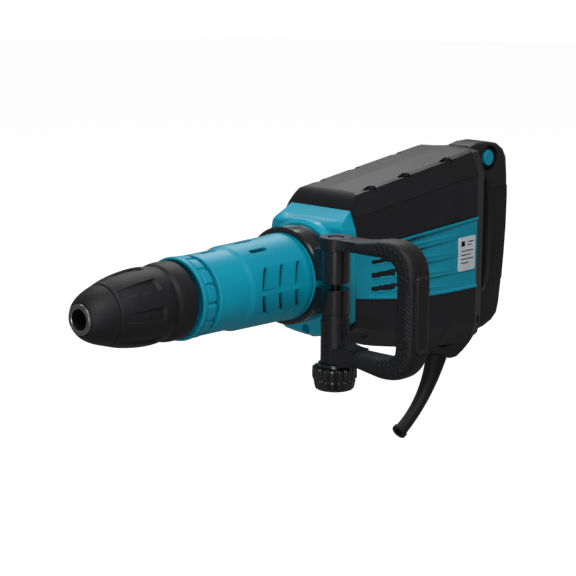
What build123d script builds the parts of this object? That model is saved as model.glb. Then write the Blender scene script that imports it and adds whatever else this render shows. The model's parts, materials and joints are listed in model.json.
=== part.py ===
from build123d import *
import math
import os

# Electric demolition hammer, millimetres.
# Origin at the middle of the tool holder's mouth, +X rearwards along the barrel, +Z up,
# -Y the side that the side handle is on.

# Driving dimensions
BIT_BORE_R = 9.05
RUN_FIT = 0.05
AIR_GAP = 0.3
WALL = 2.4

# Chuck along the barrel axis
CAP_START, CAP_END = 2, 24
SLEEVE_START, SLEEVE_END = 24.6, 105
RING_START, RING_END = 110, 127
HOLDER_END = 172
JOURNAL_R = 17
HOLDER_R = 15

# Barrel and clamp
BARREL_START = 131
COVER_START, COVER_STEP, COVER_END = 131.2, 168, 246
NECK_R = 40
BAND_START, BAND_END = 248, 272
BAND_R = 45.2

# Side handle stack: the bolt stands upright beside the band
BOLT_X, BOLT_Y, BOLT_R = 255, -58, 4
EYE_R = 14.5

# Crank train: upright shafts, spur gears of module 1.5
CYLINDER_START, CYLINDER_END = 176, 318
CYLINDER_R, CYLINDER_OUTER_R = 20, 24
CRANK_X, CRANK_THROW = 350, 11
GEAR_MODULE = 1.5
CRANK_TEETH, LAY_PINION_TEETH, LAY_TEETH, MOTOR_TEETH = 45, 14, 38, 10
LAY_X = CRANK_X + GEAR_MODULE * (CRANK_TEETH + LAY_PINION_TEETH) / 2
MOTOR_X = LAY_X + GEAR_MODULE * (LAY_TEETH + MOTOR_TEETH) / 2
GUDGEON_X = 296.5

# Housing
BODY_START, BODY_END = 301, 488
SIDE_Y = 43.2
PANEL_THICK = 2.2
CORE_Y = SIDE_Y - PANEL_THICK - 0.2
TOP_EDGE_Y = 34
BOTTOM_EDGE_Y = (27, 36)

# Rear handle
REAR_COVER_END = 506
PIVOT_X, PIVOT_Z = 498, -75
SWITCH_X, SWITCH_Z = 541, 81

PIN_R = 4
DIAL_Y, DIAL_Z, DIAL_R = 18, 40, 9
LAMP_R, LAMP_Z = 2.5, (34, 46)

# Cord guard: leaves the rear lower corner and bends forwards and down
GUARD_TOP = Vector(490, 4, -110)
GUARD_MIDDLE = Vector(472, 4, -149)
GUARD_TIP = Vector(430, 5, -187)

os.makedirs("parts", exist_ok=True)


# heights of the body's long edges as straight lines in x: (x at start, z) to (x at end, z)
def line_z(x, start_z, end_z):
    return start_z + (end_z - start_z) * (x - BODY_START) / (BODY_END - BODY_START)


def shoulder_z(x):
    return line_z(x, 52.5, 72.5)


def top_z(x):
    return line_z(x, 70, 94)


def panel_top_z(x):
    return line_z(x, 21, 30.5)


def panel_bottom_z(x):
    return line_z(x, -23, -40) - 4.5 * math.sin(math.pi * (x - BODY_START) / (BODY_END - BODY_START))


def crease_z(x):
    return line_z(x, -51.5, -76) - 4 * math.sin(math.pi * (x - BODY_START) / (BODY_END - BODY_START))


def bottom_z(x):
    return line_z(x, -67, -97.5) - 5 * math.sin(math.pi * (x - BODY_START) / (BODY_END - BODY_START))


# half width of the flat underside, narrower at the front
def bottom_edge_y(x):
    return line_z(x, *BOTTOM_EDGE_Y)


# a body of revolution about the barrel axis from (x, radius) points
def turned(points, mode=Mode.ADD):
    with BuildSketch(Plane.XY) as profile:
        with BuildLine():
            Polyline(*points, close=True)
        make_face()
    revolve(profile.sketch, axis=Axis.X, mode=mode)


# a round bar or bore along X, Z or Y
def bar_x(x0, x1, r, y=0, z=0, mode=Mode.ADD):
    with BuildSketch(Plane(origin=(x0, y, z), x_dir=(0, 1, 0), z_dir=(1, 0, 0))) as disc:
        Circle(r)
    extrude(disc.sketch, amount=x1 - x0, mode=mode)


def bar_z(z0, z1, r, x=0, y=0, mode=Mode.ADD):
    with BuildSketch(Plane(origin=(x, y, z0))) as disc:
        Circle(r)
    extrude(disc.sketch, amount=z1 - z0, mode=mode)


def bar_y(y0, y1, r, x=0, z=0, mode=Mode.ADD):
    with BuildSketch(Plane(origin=(x, y0, z), x_dir=(1, 0, 0), z_dir=(0, 1, 0))) as disc:
        Circle(r)
    extrude(disc.sketch, amount=y1 - y0, mode=mode)


# an upright ring about (x, y)
def ring_z(z0, z1, inner, outer, x=0, y=0):
    with BuildSketch(Plane(origin=(x, y, z0))) as ring:
        Circle(outer)
        Circle(inner, mode=Mode.SUBTRACT)
    extrude(ring.sketch, amount=z1 - z0)


def block(x0, x1, y0, y1, z0, z1, mode=Mode.ADD):
    with BuildSketch(Plane.XY.offset(z0)) as base:
        with Locations(((x0 + x1) / 2, (y0 + y1) / 2)):
            Rectangle(x1 - x0, y1 - y0)
    extrude(base.sketch, amount=z1 - z0, mode=mode)


# an outline in the XZ plane, pushed out to both sides of y = 0
def side_slab(points, y0, y1, mode=Mode.ADD):
    with BuildSketch(Plane(origin=(0, y1, 0), x_dir=(1, 0, 0), z_dir=(0, -1, 0))) as outline:
        with BuildLine():
            Polyline(*points, close=True)
        make_face()
    extrude(outline.sketch, amount=y1 - y0, mode=mode)


# an outline in the YZ plane, pushed out from one x to another
def front_slab(points, x0, x1, mode=Mode.ADD):
    with BuildSketch(Plane(origin=(x0, 0, 0), x_dir=(0, 1, 0), z_dir=(1, 0, 0))) as outline:
        with BuildLine():
            Polyline(*points, close=True)
        make_face()
    extrude(outline.sketch, amount=x1 - x0, mode=mode)


# a body through YZ sections given as a function of x, one half each, mirrored in y = 0
def ribbed_loft(stations, half_section, mode=Mode.ADD):
    faces = []
    for x in stations:
        half = half_section(x)
        whole = half + [(-y, z) for y, z in reversed(half) if y > 0]
        with BuildSketch(Plane(origin=(x, 0, 0), x_dir=(0, 1, 0), z_dir=(1, 0, 0))) as section:
            with BuildLine():
                Polyline(*whole, close=True)
            make_face()
        faces.append(section.sketch.faces()[0])
    loft(faces, ruled=True, mode=mode)


# a spur gear outline with straight flanks and working backlash
def spur_gear(teeth, z0, z1, x, turn=0.0):
    pitch = 2 * math.pi / teeth
    root_r = GEAR_MODULE * (teeth / 2 - 1.15)
    tip_r = GEAR_MODULE * (teeth / 2 + 0.8)
    points = []
    for tooth in range(teeth):
        middle = tooth * pitch + turn
        for r, part in ((root_r, -0.30), (tip_r, -0.13), (tip_r, 0.13), (root_r, 0.30)):
            points.append((r * math.cos(middle + part * pitch), r * math.sin(middle + part * pitch)))
    with BuildSketch(Plane(origin=(x, 0, z0))) as outline:
        with BuildLine():
            Polyline(*points, close=True)
        make_face()
    extrude(outline.sketch, amount=z1 - z0)


def coil_spring(base, along, turns, pitch, coil_r, wire_r):
    with BuildLine() as path:
        Helix(pitch=pitch, height=turns * pitch, radius=coil_r, center=base, direction=along)
    with BuildSketch(Plane(origin=path.line @ 0, z_dir=path.line % 0)) as wire:
        Circle(wire_r)
    sweep(wire.sketch, path=path.line)


def save(piece, name):
    piece.part.label = name
    export_step(piece.part, f"parts/{name}.step")


# ---- chuck: tool holder, nose cap, sliding sleeve, change ring ----

ROLLER_R, ROLLER_Y = 4, 13.3
ROLLER_START, ROLLER_END = 40.3, 57.7

with BuildPart() as tool_holder:
    turned([
        (0, BIT_BORE_R), (92, BIT_BORE_R), (92, 11), (HOLDER_END, 11), (HOLDER_END, JOURNAL_R),
        (96, JOURNAL_R), (96, HOLDER_R), (18, HOLDER_R), (18, 13.3), (1, 13.3), (0, 12.3),
    ])
    for side in (-1, 1):
        y0, y1 = sorted((side * 5, side * 20))
        block(ROLLER_START - 0.3, ROLLER_END + 0.3, y0, y1, -4.2, 4.2, mode=Mode.SUBTRACT)
save(tool_holder, "tool_holder")

with BuildPart() as locking_rollers:
    for side in (-1, 1):
        bar_x(ROLLER_START, ROLLER_END, ROLLER_R, y=side * ROLLER_Y)
save(locking_rollers, "locking_rollers")

with BuildPart() as nose_cap:
    with BuildSketch(Plane.XY) as cap_profile:
        with BuildLine():
            ThreePointArc((CAP_START, 14.6), (9.5, 20.2), (CAP_END, 25.8))
            Polyline(
                (CAP_END, 25.8), (CAP_END, HOLDER_R), (18, HOLDER_R), (18, 13.3),
                (CAP_START, 13.3), (CAP_START, 14.6),
            )
        make_face()
    revolve(axis=Axis.X)
save(nose_cap, "nose_cap")

FLUTES = 8
FLUTE_DEPTH = 1.2


# the sleeve's outer curve, shrunk by a depth and closed on the line r = 12
def sleeve_skin(depth):
    with BuildSketch(Plane.XY) as skin:
        with BuildLine():
            Spline(
                (SLEEVE_START, 26 - depth), (38, 29.8 - depth), (52, 32.3 - depth),
                (66, 33.4 - depth), (77, 33.2 - depth),
            )
            Polyline(
                (77, 33.2 - depth), (80, 32 - depth), (82, 32 - depth), (86, 33.8 - depth),
                (95, 34.5 - depth), (SLEEVE_END, 34.5 - depth), (SLEEVE_END, 12), (SLEEVE_START, 12),
                (SLEEVE_START, 26 - depth),
            )
        make_face()
    return skin.sketch


with BuildPart() as flute_cutters:
    for index in range(FLUTES):
        angle = math.radians(360 / FLUTES * index)
        outward = (0, math.cos(angle), math.sin(angle))
        with BuildSketch(Plane(origin=(47, 0, 0), x_dir=(1, 0, 0), z_dir=outward)) as slot:
            SlotOverall(42, 9.5)
        extrude(slot.sketch, amount=60)
    revolve(sleeve_skin(FLUTE_DEPTH), axis=Axis.X, mode=Mode.SUBTRACT)

with BuildPart() as chuck_sleeve:
    revolve(sleeve_skin(0), axis=Axis.X)
    turned([
        (SLEEVE_START - 1, 0), (SLEEVE_START - 1, 21.5), (38, 25.5), (60, 28.5), (60, 20.5),
        (42, 20.5), (42, 17.7), (60, 17.7), (60, HOLDER_R + RUN_FIT), (66, HOLDER_R + RUN_FIT),
        (66, 29.3), (97, 30.4), (SLEEVE_END + 1, 31.6), (SLEEVE_END + 1, 0),
    ], mode=Mode.SUBTRACT)
    add(flute_cutters.part, mode=Mode.SUBTRACT)
save(chuck_sleeve, "chuck_sleeve")

with BuildPart() as spring_seat:
    turned([(93, HOLDER_R), (96, HOLDER_R), (96, 26), (93, 26)])
save(spring_seat, "spring_seat")

with BuildPart() as sleeve_spring:
    coil_spring((68, 0, 0), (1, 0, 0), 4, 5.6, 21, 1.2)
save(sleeve_spring, "sleeve_spring")

RING_RIBS = 12

with BuildPart() as change_ring:
    turned([
        (RING_START, 34.9), (RING_START + 9.5, 34.9), (RING_START + 9.5, JOURNAL_R + RUN_FIT),
        (RING_END, JOURNAL_R + RUN_FIT), (RING_END, 35.2), (RING_END - 1, 35.9),
        (RING_START + 4.5, 35.9), (RING_START + 4, 36.6), (RING_START, 36.6),
    ])
    for index in range(RING_RIBS):
        angle = math.radians(360 / RING_RIBS * index)
        outward = (0, math.cos(angle), math.sin(angle))
        with BuildSketch(Plane(origin=(120.6, 0, 0), x_dir=(1, 0, 0), z_dir=outward).offset(35.3)) as rib:
            Rectangle(12.6, 5)
        extrude(rib.sketch, amount=1.2)
save(change_ring, "change_ring")

# ---- barrel ----

with BuildPart() as barrel:
    turned([
        (BARREL_START, JOURNAL_R + RUN_FIT), (174, JOURNAL_R + RUN_FIT),
        (174, CYLINDER_OUTER_R), (284, CYLINDER_OUTER_R), (284, 30), (BARREL_START, 30),
    ])
save(barrel, "barrel")

VENT_X = (185, 206, 227)
VENT_WIDE = 5
COVER_FRONT_R, COVER_MID_R, COVER_REAR_R = 35.7, 38.2, 39.9

with BuildPart() as barrel_cover:
    turned([
        (COVER_START, 30), (COVER_START, COVER_FRONT_R - 1), (COVER_START + 1, COVER_FRONT_R),
        (COVER_STEP, COVER_FRONT_R), (COVER_STEP + 5, COVER_MID_R), (COVER_END - 2.5, COVER_REAR_R),
        (COVER_END, COVER_REAR_R - 2.2), (COVER_END, 30), (COVER_END - 3, 30),
        (COVER_END - 3, COVER_REAR_R - 4), (COVER_STEP + 6, COVER_MID_R - 3),
        (COVER_STEP + 1, COVER_FRONT_R - 3), (COVER_START + 3, COVER_FRONT_R - 3),
        (COVER_START + 3, 30),
    ])
    # slots round the barrel on both sides, in two rows and three columns
    for vent_x in VENT_X:
        for side in (-1, 1):
            for middle in (20, -20):
                angle = math.radians(middle)
                outward = (0, side * math.cos(angle), math.sin(angle))
                with BuildSketch(Plane(origin=(vent_x, 0, 0), x_dir=(1, 0, 0), z_dir=outward)) as vent:
                    SlotOverall(22, VENT_WIDE, rotation=90)
                extrude(vent.sketch, amount=60, mode=Mode.SUBTRACT)
    # long slots on top, three over the body of the cover and one over its nose
    for x0, x1, lean in ((183, 206, -29), (183, 206, 0), (183, 206, 29), (141, 161, 0)):
        angle = math.radians(90 + lean)
        outward = (0, math.cos(angle), math.sin(angle))
        with BuildSketch(Plane(origin=((x0 + x1) / 2, 0, 0), x_dir=(1, 0, 0), z_dir=outward)) as top_vent:
            SlotOverall(x1 - x0, 4.5)
        extrude(top_vent.sketch, amount=60, mode=Mode.SUBTRACT)
save(barrel_cover, "barrel_cover")

# ---- impact train inside the barrel ----

with BuildPart() as impact_bolt:
    turned([
        (94, 0), (168, 0), (168, 7), (164, 8.5), (152, 8.5), (150, 11 - RUN_FIT),
        (104, 11 - RUN_FIT), (101, 8.6), (95, 8.6), (94, 7.6),
    ])
save(impact_bolt, "impact_bolt")

with BuildPart() as cylinder:
    turned([
        (CYLINDER_START, CYLINDER_R), (CYLINDER_END, CYLINDER_R),
        (CYLINDER_END, CYLINDER_OUTER_R), (CYLINDER_START, CYLINDER_OUTER_R),
    ])
save(cylinder, "cylinder")

STRIKER_START, STRIKER_END = 190, 232

with BuildPart() as striker:
    turned([
        (176.5, 0), (STRIKER_END, 0), (STRIKER_END, CYLINDER_R - RUN_FIT),
        (224, CYLINDER_R - RUN_FIT), (224, 18), (220, 18), (220, CYLINDER_R - RUN_FIT),
        (STRIKER_START, CYLINDER_R - RUN_FIT), (STRIKER_START, 9), (177.5, 9), (176.5, 8),
    ])
save(striker, "striker")

with BuildPart() as striker_o_ring:
    turned([(220.3, 18), (223.7, 18), (223.7, 19.8), (220.3, 19.8)])
save(striker_o_ring, "striker_o_ring")

PISTON_START, PISTON_END = 262, 306

with BuildPart() as piston:
    turned([
        (PISTON_START, 0), (PISTON_START, CYLINDER_R - RUN_FIT), (264, CYLINDER_R - RUN_FIT),
        (264, 18), (267, 18), (267, CYLINDER_R - RUN_FIT), (PISTON_END, CYLINDER_R - RUN_FIT),
        (PISTON_END, 16.8), (PISTON_START + 6, 16.8), (PISTON_START + 6, 0),
    ])
save(piston, "piston")

with BuildPart() as piston_ring:
    turned([(264.3, 18), (266.7, 18), (266.7, 19.8), (264.3, 19.8)])
save(piston_ring, "piston_ring")

# ---- crank, layshaft and gears ----

PIN_X = CRANK_X - CRANK_THROW

with BuildPart() as connecting_rod:
    block(GUDGEON_X, PIN_X, -4, 4, -4, 4)
    bar_z(-5, 5, 4.6, GUDGEON_X)
    bar_z(-6.5, 6.5, 10, PIN_X)
    bar_z(-7, 7, 2.5, GUDGEON_X, mode=Mode.SUBTRACT)
    bar_z(-8, 8, 6 + RUN_FIT, PIN_X, mode=Mode.SUBTRACT)
save(connecting_rod, "connecting_rod")

with BuildPart() as gudgeon_pin:
    bar_z(-9, 9, 2.5, GUDGEON_X)
save(gudgeon_pin, "gudgeon_pin")

GEAR_Z = (25, 34)
LAY_GEAR_Z = (36.5, 44)
CASE_TOP = 52

with BuildPart() as crankshaft:
    bar_z(9, 16, 20, CRANK_X)
    bar_z(16, CASE_TOP - 2.6, 7, CRANK_X)
    bar_z(-8, 9, 6, PIN_X)
save(crankshaft, "crankshaft")

with BuildPart() as crank_gear:
    spur_gear(CRANK_TEETH, *GEAR_Z, CRANK_X)
    bar_z(GEAR_Z[0], GEAR_Z[1], 7, CRANK_X, mode=Mode.SUBTRACT)
save(crank_gear, "crank_gear")

# the pinion's teeth fall in the gaps of the wheel on the line of centres
with BuildPart() as lay_pinion:
    spur_gear(LAY_PINION_TEETH, 24, 35, LAY_X, turn=math.pi + math.pi / LAY_PINION_TEETH)
    bar_z(24, 35, 5, LAY_X, mode=Mode.SUBTRACT)
save(lay_pinion, "lay_pinion")

with BuildPart() as lay_gear:
    spur_gear(LAY_TEETH, *LAY_GEAR_Z, LAY_X)
    bar_z(LAY_GEAR_Z[0], LAY_GEAR_Z[1], 5, LAY_X, mode=Mode.SUBTRACT)
save(lay_gear, "lay_gear")

with BuildPart() as lay_shaft:
    bar_z(9, CASE_TOP - 2.6, 5, LAY_X)
save(lay_shaft, "lay_shaft")

# ball bearings as plain rings: crank, layshaft and motor shaft
with BuildPart() as gear_bearings:
    for z0, z1, inner, outer, x in (
        (35.5, 42, 7, 12.5, CRANK_X), (43.4, 49.4, 7, 12.5, CRANK_X),
        (10, 17, 5, 10, LAY_X), (44.6, 49.4, 5, 10, LAY_X),
    ):
        ring_z(z0, z1, inner + RUN_FIT, outer, x)
save(gear_bearings, "gear_bearings")

with BuildPart() as motor_bearings:
    ring_z(18.2, 26, 6 + RUN_FIT, 13, MOTOR_X)
    ring_z(-88.5, -82, 4 + RUN_FIT, 9.5, MOTOR_X)
save(motor_bearings, "motor_bearings")

with BuildPart() as armature_shaft:
    bar_z(-60, 32, 6, MOTOR_X)
    bar_z(-89, -60, 4, MOTOR_X)
save(armature_shaft, "armature_shaft")

with BuildPart() as motor_pinion:
    spur_gear(MOTOR_TEETH, 32, 46, MOTOR_X, turn=math.pi + math.pi / MOTOR_TEETH)
save(motor_pinion, "motor_pinion")

ARMATURE_SLOTS = 12

with BuildPart() as armature_core:
    ring_z(-58, -14, 6, 24, MOTOR_X)
    for index in range(ARMATURE_SLOTS):
        angle = 2 * math.pi * index / ARMATURE_SLOTS
        x, y = MOTOR_X + 21 * math.cos(angle), 21 * math.sin(angle)
        bar_z(-58, -14, 2.2, x, y, mode=Mode.SUBTRACT)
save(armature_core, "armature_core")

with BuildPart() as commutator:
    ring_z(-79, -66, 4, 13, MOTOR_X)
save(commutator, "commutator")

FAN_BLADES = 14

with BuildPart() as fan:
    ring_z(-6, -4, 6, 33, MOTOR_X)
    for index in range(FAN_BLADES):
        turn = 360 / FAN_BLADES * index
        with BuildSketch(Plane(origin=(MOTOR_X, 0, -4)).rotated((0, 0, turn))) as blade:
            with Locations((22, 4)):
                Rectangle(18, 1.6)
        extrude(blade.sketch, amount=8)
save(fan, "fan")

with BuildPart() as stator:
    ring_z(-62, -12, 25, 36.5, MOTOR_X)
save(stator, "stator")

with BuildPart() as carbon_brushes:
    for y0, y1 in ((-31, -13.2), (13.2, 31)):
        block(MOTOR_X - 4, MOTOR_X + 4, y0, y1, -77, -68)
save(carbon_brushes, "carbon_brushes")

with BuildPart() as brush_holders:
    for y0, y1 in ((-33, -16), (16, 33)):
        block(MOTOR_X - 6.5, MOTOR_X + 6.5, y0, y1, -79.5, -65.5)
        block(MOTOR_X - 4, MOTOR_X + 4, -31, 31, -77, -68, mode=Mode.SUBTRACT)
save(brush_holders, "brush_holders")

# ---- gear housing: neck, collar, front block and crankcase in one casting ----

CASE_Y = CORE_Y - WALL - 0.6
CASE_INNER_Y = CASE_Y - 2.4
CASE_BOTTOM = -28
FRONT_SCREWS = ((-31, -45.5), (0, -55), (31, -45.5))

BLOCK_Y, BLOCK_ARC_R = 43.5, 62


# front block seen from the front: cut top corners, and a lower edge that runs round the barrel axis
def block_outline():
    low_angle = math.acos(BLOCK_Y / BLOCK_ARC_R)
    steps = 12
    arc = []
    for step in range(steps + 1):
        angle = low_angle + (math.pi - 2 * low_angle) * step / steps
        arc.append((BLOCK_ARC_R * math.cos(angle), -BLOCK_ARC_R * math.sin(angle)))
    return arc + [
        (-BLOCK_Y, 36), (-42, 43), (-38, 51), (-35.5, 58.5),
        (35.5, 58.5), (38, 51), (42, 43), (BLOCK_Y, 36),
    ]


with BuildPart() as gear_housing:
    front_slab(block_outline(), 281, 300.5)
    side_slab([(280, 44), (281, 44), (283, 47), (300.5, 58), (300.5, 60), (280, 60)], -60, 60,
              mode=Mode.SUBTRACT)
    side_slab([(280, -57), (281, -57), (289, -63), (280, -63)], -60, 60, mode=Mode.SUBTRACT)
    turned([
        (246.5, 30), (246.5, NECK_R), (273, NECK_R), (273, 46), (276, 49), (283, 49), (283, 30),
    ])
    block(300, 378, -CASE_Y, CASE_Y, CASE_BOTTOM, CASE_TOP)
    block(378, 449, -CASE_Y, CASE_Y, 7, CASE_TOP)
    block(320, 376, -CASE_INNER_Y, CASE_INNER_Y, CASE_BOTTOM + 3, CASE_TOP - 2.4, mode=Mode.SUBTRACT)
    block(330, 447, -CASE_INNER_Y, CASE_INNER_Y, 18.2, CASE_TOP - 2.4, mode=Mode.SUBTRACT)
    block(313, 330, -CASE_INNER_Y, CASE_INNER_Y, 24.2, CASE_TOP - 2.4, mode=Mode.SUBTRACT)
    bar_x(240, 330, CYLINDER_OUTER_R, mode=Mode.SUBTRACT)
    bar_x(240, 284, 30, mode=Mode.SUBTRACT)
    # bosses that hold the upper bearings and the motor's front bearing
    ring_z(44.4, CASE_TOP - 2, 12.5, 15, CRANK_X)
    ring_z(44.8, CASE_TOP - 2, 10, 13, LAY_X)
    ring_z(18, 26, 13, 16, MOTOR_X)
    # seats for the shafts and bearings through the crankcase floor
    bar_z(5, 20, 10, LAY_X, mode=Mode.SUBTRACT)
    bar_z(5, 20, 7, MOTOR_X, mode=Mode.SUBTRACT)
    # screw seats along the lower front edge
    for y, z in FRONT_SCREWS:
        bar_x(270, 295, 4.5, y=y, z=z, mode=Mode.SUBTRACT)
save(gear_housing, "gear_housing")

with BuildPart() as gear_housing_screws:
    for y, z in FRONT_SCREWS:
        bar_x(291, 295, 4.2, y=y, z=z)
        bar_x(289.5, 292, 2.2, y=y, z=z, mode=Mode.SUBTRACT)
save(gear_housing_screws, "gear_housing_screws")

# ---- outer housing ----

INNER_Y = CORE_Y - WALL


def top_outer(x):
    return [
        (0, shoulder_z(x)), (SIDE_Y - 0.2, shoulder_z(x)), (TOP_EDGE_Y, top_z(x)),
        (TOP_EDGE_Y - 5, top_z(x) + 1.4), (0, top_z(x) + 2.6),
    ]


def top_inner(x):
    return [
        (0, shoulder_z(x) - 1), (INNER_Y, shoulder_z(x) - 1), (TOP_EDGE_Y - 3, top_z(x) - WALL),
        (0, top_z(x)),
    ]


SCREW_SPOTS = ((336, 31), (387, 31), (451, 31))
CAVITY_START = 327

with BuildPart() as top_cover:
    ribbed_loft((BODY_START, BODY_END), top_outer)
    ribbed_loft((CAVITY_START, BODY_END + 1), top_inner, mode=Mode.SUBTRACT)
    # rounded brow at the front
    with BuildSketch(Plane(origin=(0, 60, 0), x_dir=(1, 0, 0), z_dir=(0, -1, 0))) as brow:
        with BuildLine():
            ThreePointArc((BODY_START, 56), (306, 67.5), (322, 75.6))
            Polyline((322, 75.6), (322, 120), (290, 120), (290, 56), (BODY_START, 56))
        make_face()
    extrude(brow.sketch, amount=120, mode=Mode.SUBTRACT)
    for x, y in SCREW_SPOTS:
        for side in (-1, 1):
            bar_z(top_z(x) - 6, 110, 4.6, x, side * y, mode=Mode.SUBTRACT)
            bar_z(top_z(x) - 25, 110, 2, x, side * y, mode=Mode.SUBTRACT)
save(top_cover, "top_cover")

with BuildPart() as top_cover_screws:
    for x, y in SCREW_SPOTS:
        for side in (-1, 1):
            z = top_z(x) - 6
            bar_z(z, z + 4, 4.3, x, side * y)
            bar_z(z - 14, z, 2, x, side * y)
            bar_z(z + 1.5, z + 5, 2.3, x, side * y, mode=Mode.SUBTRACT)
save(top_cover_screws, "top_cover_screws")


def core_outer(x):
    return [(0, panel_bottom_z(x)), (CORE_Y, panel_bottom_z(x)), (CORE_Y, shoulder_z(x) - 0.2),
            (0, shoulder_z(x) - 0.2)]


def core_inner(x):
    return [(0, panel_bottom_z(x) - 1), (INNER_Y, panel_bottom_z(x) - 1), (INNER_Y, shoulder_z(x) + 1),
            (0, shoulder_z(x) + 1)]


BODY_STATIONS = (BODY_START, 345, 395, 440, BODY_END)

with BuildPart() as motor_housing:
    ribbed_loft(BODY_STATIONS, core_outer)
    ribbed_loft((BODY_START - 1,) + BODY_STATIONS[1:-1] + (BODY_END - WALL,), core_inner,
                mode=Mode.SUBTRACT)
    # raised side fields above the panels, flush with the cover
    for side in (-1, 1):
        y0, y1 = sorted((side * (CORE_Y - 0.5), side * (SIDE_Y - 0.7)))
        side_slab([
            (BODY_START, panel_top_z(BODY_START) + 0.2), (BODY_END, panel_top_z(BODY_END) + 0.2),
            (BODY_END, shoulder_z(BODY_END) - 0.2), (BODY_START, shoulder_z(BODY_START) - 0.2),
        ], y0, y1)
save(motor_housing, "motor_housing")

LOUVRES = 4


# a side panel with open louvres at its front and shallow scallops behind them
def side_panel_shape(side):
    low = [(x, panel_bottom_z(x) + 0.2) for x in BODY_STATIONS]
    high = [(BODY_END, panel_top_z(BODY_END)), (BODY_START, panel_top_z(BODY_START))]
    inner, outer = side * (CORE_Y + 0.05), side * SIDE_Y
    y0, y1 = sorted((inner, outer))
    side_slab(low + high, y0, y1)
    for index in range(LOUVRES):
        z = 12 - 11.5 * index
        s0, s1 = sorted((side * (SIDE_Y - 1.3), side * (SIDE_Y + 1)))
        side_slab([
            (330, z - 0.5), (440, z + 5.5), (330, z + 6.5),
        ], s0, s1, mode=Mode.SUBTRACT)


with BuildPart() as side_panel_near:
    side_panel_shape(-1)
save(side_panel_near, "side_panel_near")

with BuildPart() as side_panel_far:
    side_panel_shape(1)
save(side_panel_far, "side_panel_far")

with BuildPart() as label_plate:
    block(457.5, 484, -SIDE_Y - 0.5, -SIDE_Y, -20.7, 13)
save(label_plate, "label_plate")


def bottom_outer(x):
    return [(0, bottom_z(x)), (bottom_edge_y(x), bottom_z(x)), (SIDE_Y - 0.4, crease_z(x)),
            (SIDE_Y - 0.4, panel_bottom_z(x) - 0.2), (0, panel_bottom_z(x) - 0.2)]


def bottom_inner(x):
    return [
        (0, bottom_z(x) + WALL), (bottom_edge_y(x) - 1, bottom_z(x) + WALL),
        (CORE_Y - 0.5, crease_z(x) + 1), (CORE_Y - 0.5, panel_bottom_z(x) + 2),
        (0, panel_bottom_z(x) + 2),
    ]


BOTTOM_SCREW_X, BOTTOM_SCREW_Y = 318, 20

with BuildPart() as bottom_cover:
    ribbed_loft(BODY_STATIONS, bottom_outer)
    ribbed_loft((BODY_START + WALL,) + BODY_STATIONS[1:-1] + (BODY_END + 1,), bottom_inner,
                mode=Mode.SUBTRACT)
    block(BODY_START - 1, 380, -CASE_Y - 0.2, CASE_Y + 0.2, CASE_BOTTOM - 0.2, 0, mode=Mode.SUBTRACT)
    for side in (-1, 1):
        bar_z(-120, bottom_z(BOTTOM_SCREW_X) + 1.6, 4.6, BOTTOM_SCREW_X, side * BOTTOM_SCREW_Y,
              mode=Mode.SUBTRACT)
save(bottom_cover, "bottom_cover")

with BuildPart() as bottom_cover_screws:
    head_z = bottom_z(BOTTOM_SCREW_X) + 1.6
    for side in (-1, 1):
        bar_z(head_z - 1.2, head_z, 4.3, BOTTOM_SCREW_X, side * BOTTOM_SCREW_Y)
        bar_z(head_z - 1.2, head_z - 0.5, 2.2, BOTTOM_SCREW_X, side * BOTTOM_SCREW_Y, mode=Mode.SUBTRACT)
save(bottom_cover_screws, "bottom_cover_screws")


def rear_section(x):
    tuck = 6 * (x - BODY_END) / (REAR_COVER_END - BODY_END)
    return [(0, -97 + tuck), (33, -97 + tuck), (SIDE_Y - 1 - tuck, -76), (SIDE_Y - 1 - tuck, 70),
            (34.5 - tuck, 93), (0, 95.6)]


with BuildPart() as rear_cover:
    ribbed_loft((BODY_END + 0.2, REAR_COVER_END), rear_section)
    block(BODY_END - 1, REAR_COVER_END - 3.5, -35, 35, -72, 66, mode=Mode.SUBTRACT)
    block(BODY_END - 1, REAR_COVER_END - 3.5, -30, 30, -92, 84, mode=Mode.SUBTRACT)
    # bosses for the handle's hinge pin, and the slot for the tongue between them
    for y0, y1 in ((-36, -14), (14, 36)):
        bar_y(y0, y1, 8, x=PIVOT_X, z=PIVOT_Z)
    block(REAR_COVER_END - 16, REAR_COVER_END + 2, -13, 13, -98, -58, mode=Mode.SUBTRACT)
    bar_y(-60, 60, PIN_R, x=PIVOT_X, z=PIVOT_Z, mode=Mode.SUBTRACT)
    # openings for the speed dial and the two lamps
    bar_x(500, 508, DIAL_R + AIR_GAP, y=DIAL_Y, z=DIAL_Z, mode=Mode.SUBTRACT)
    for z in LAMP_Z:
        bar_x(500, 508, LAMP_R, y=-DIAL_Y, z=z, mode=Mode.SUBTRACT)
save(rear_cover, "rear_cover")

# ---- rear handle on its sprung hinge ----

GRIP_LOW, GRIP_HIGH = -46, 50


# the handle seen from the side: a C that is open towards the rear cover
def handle_outline():
    return [
        (512, 64), (512, 95), (524, 97.4), (541, 97.6), (557, 94.6), (567, 88.5), (572.5, 80),
        (575, 60), (576, 40), (575.6, 10), (573.5, -20), (570.5, -50), (567.5, -72), (564, -83),
        (555, -90), (541, -94.5), (524, -96.5), (509, -95), (509, -60), (530, -60), (540, -53),
        (543.5, -40), (545, 0), (544, 40), (540, 56), (531, 64),
    ]


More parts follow.
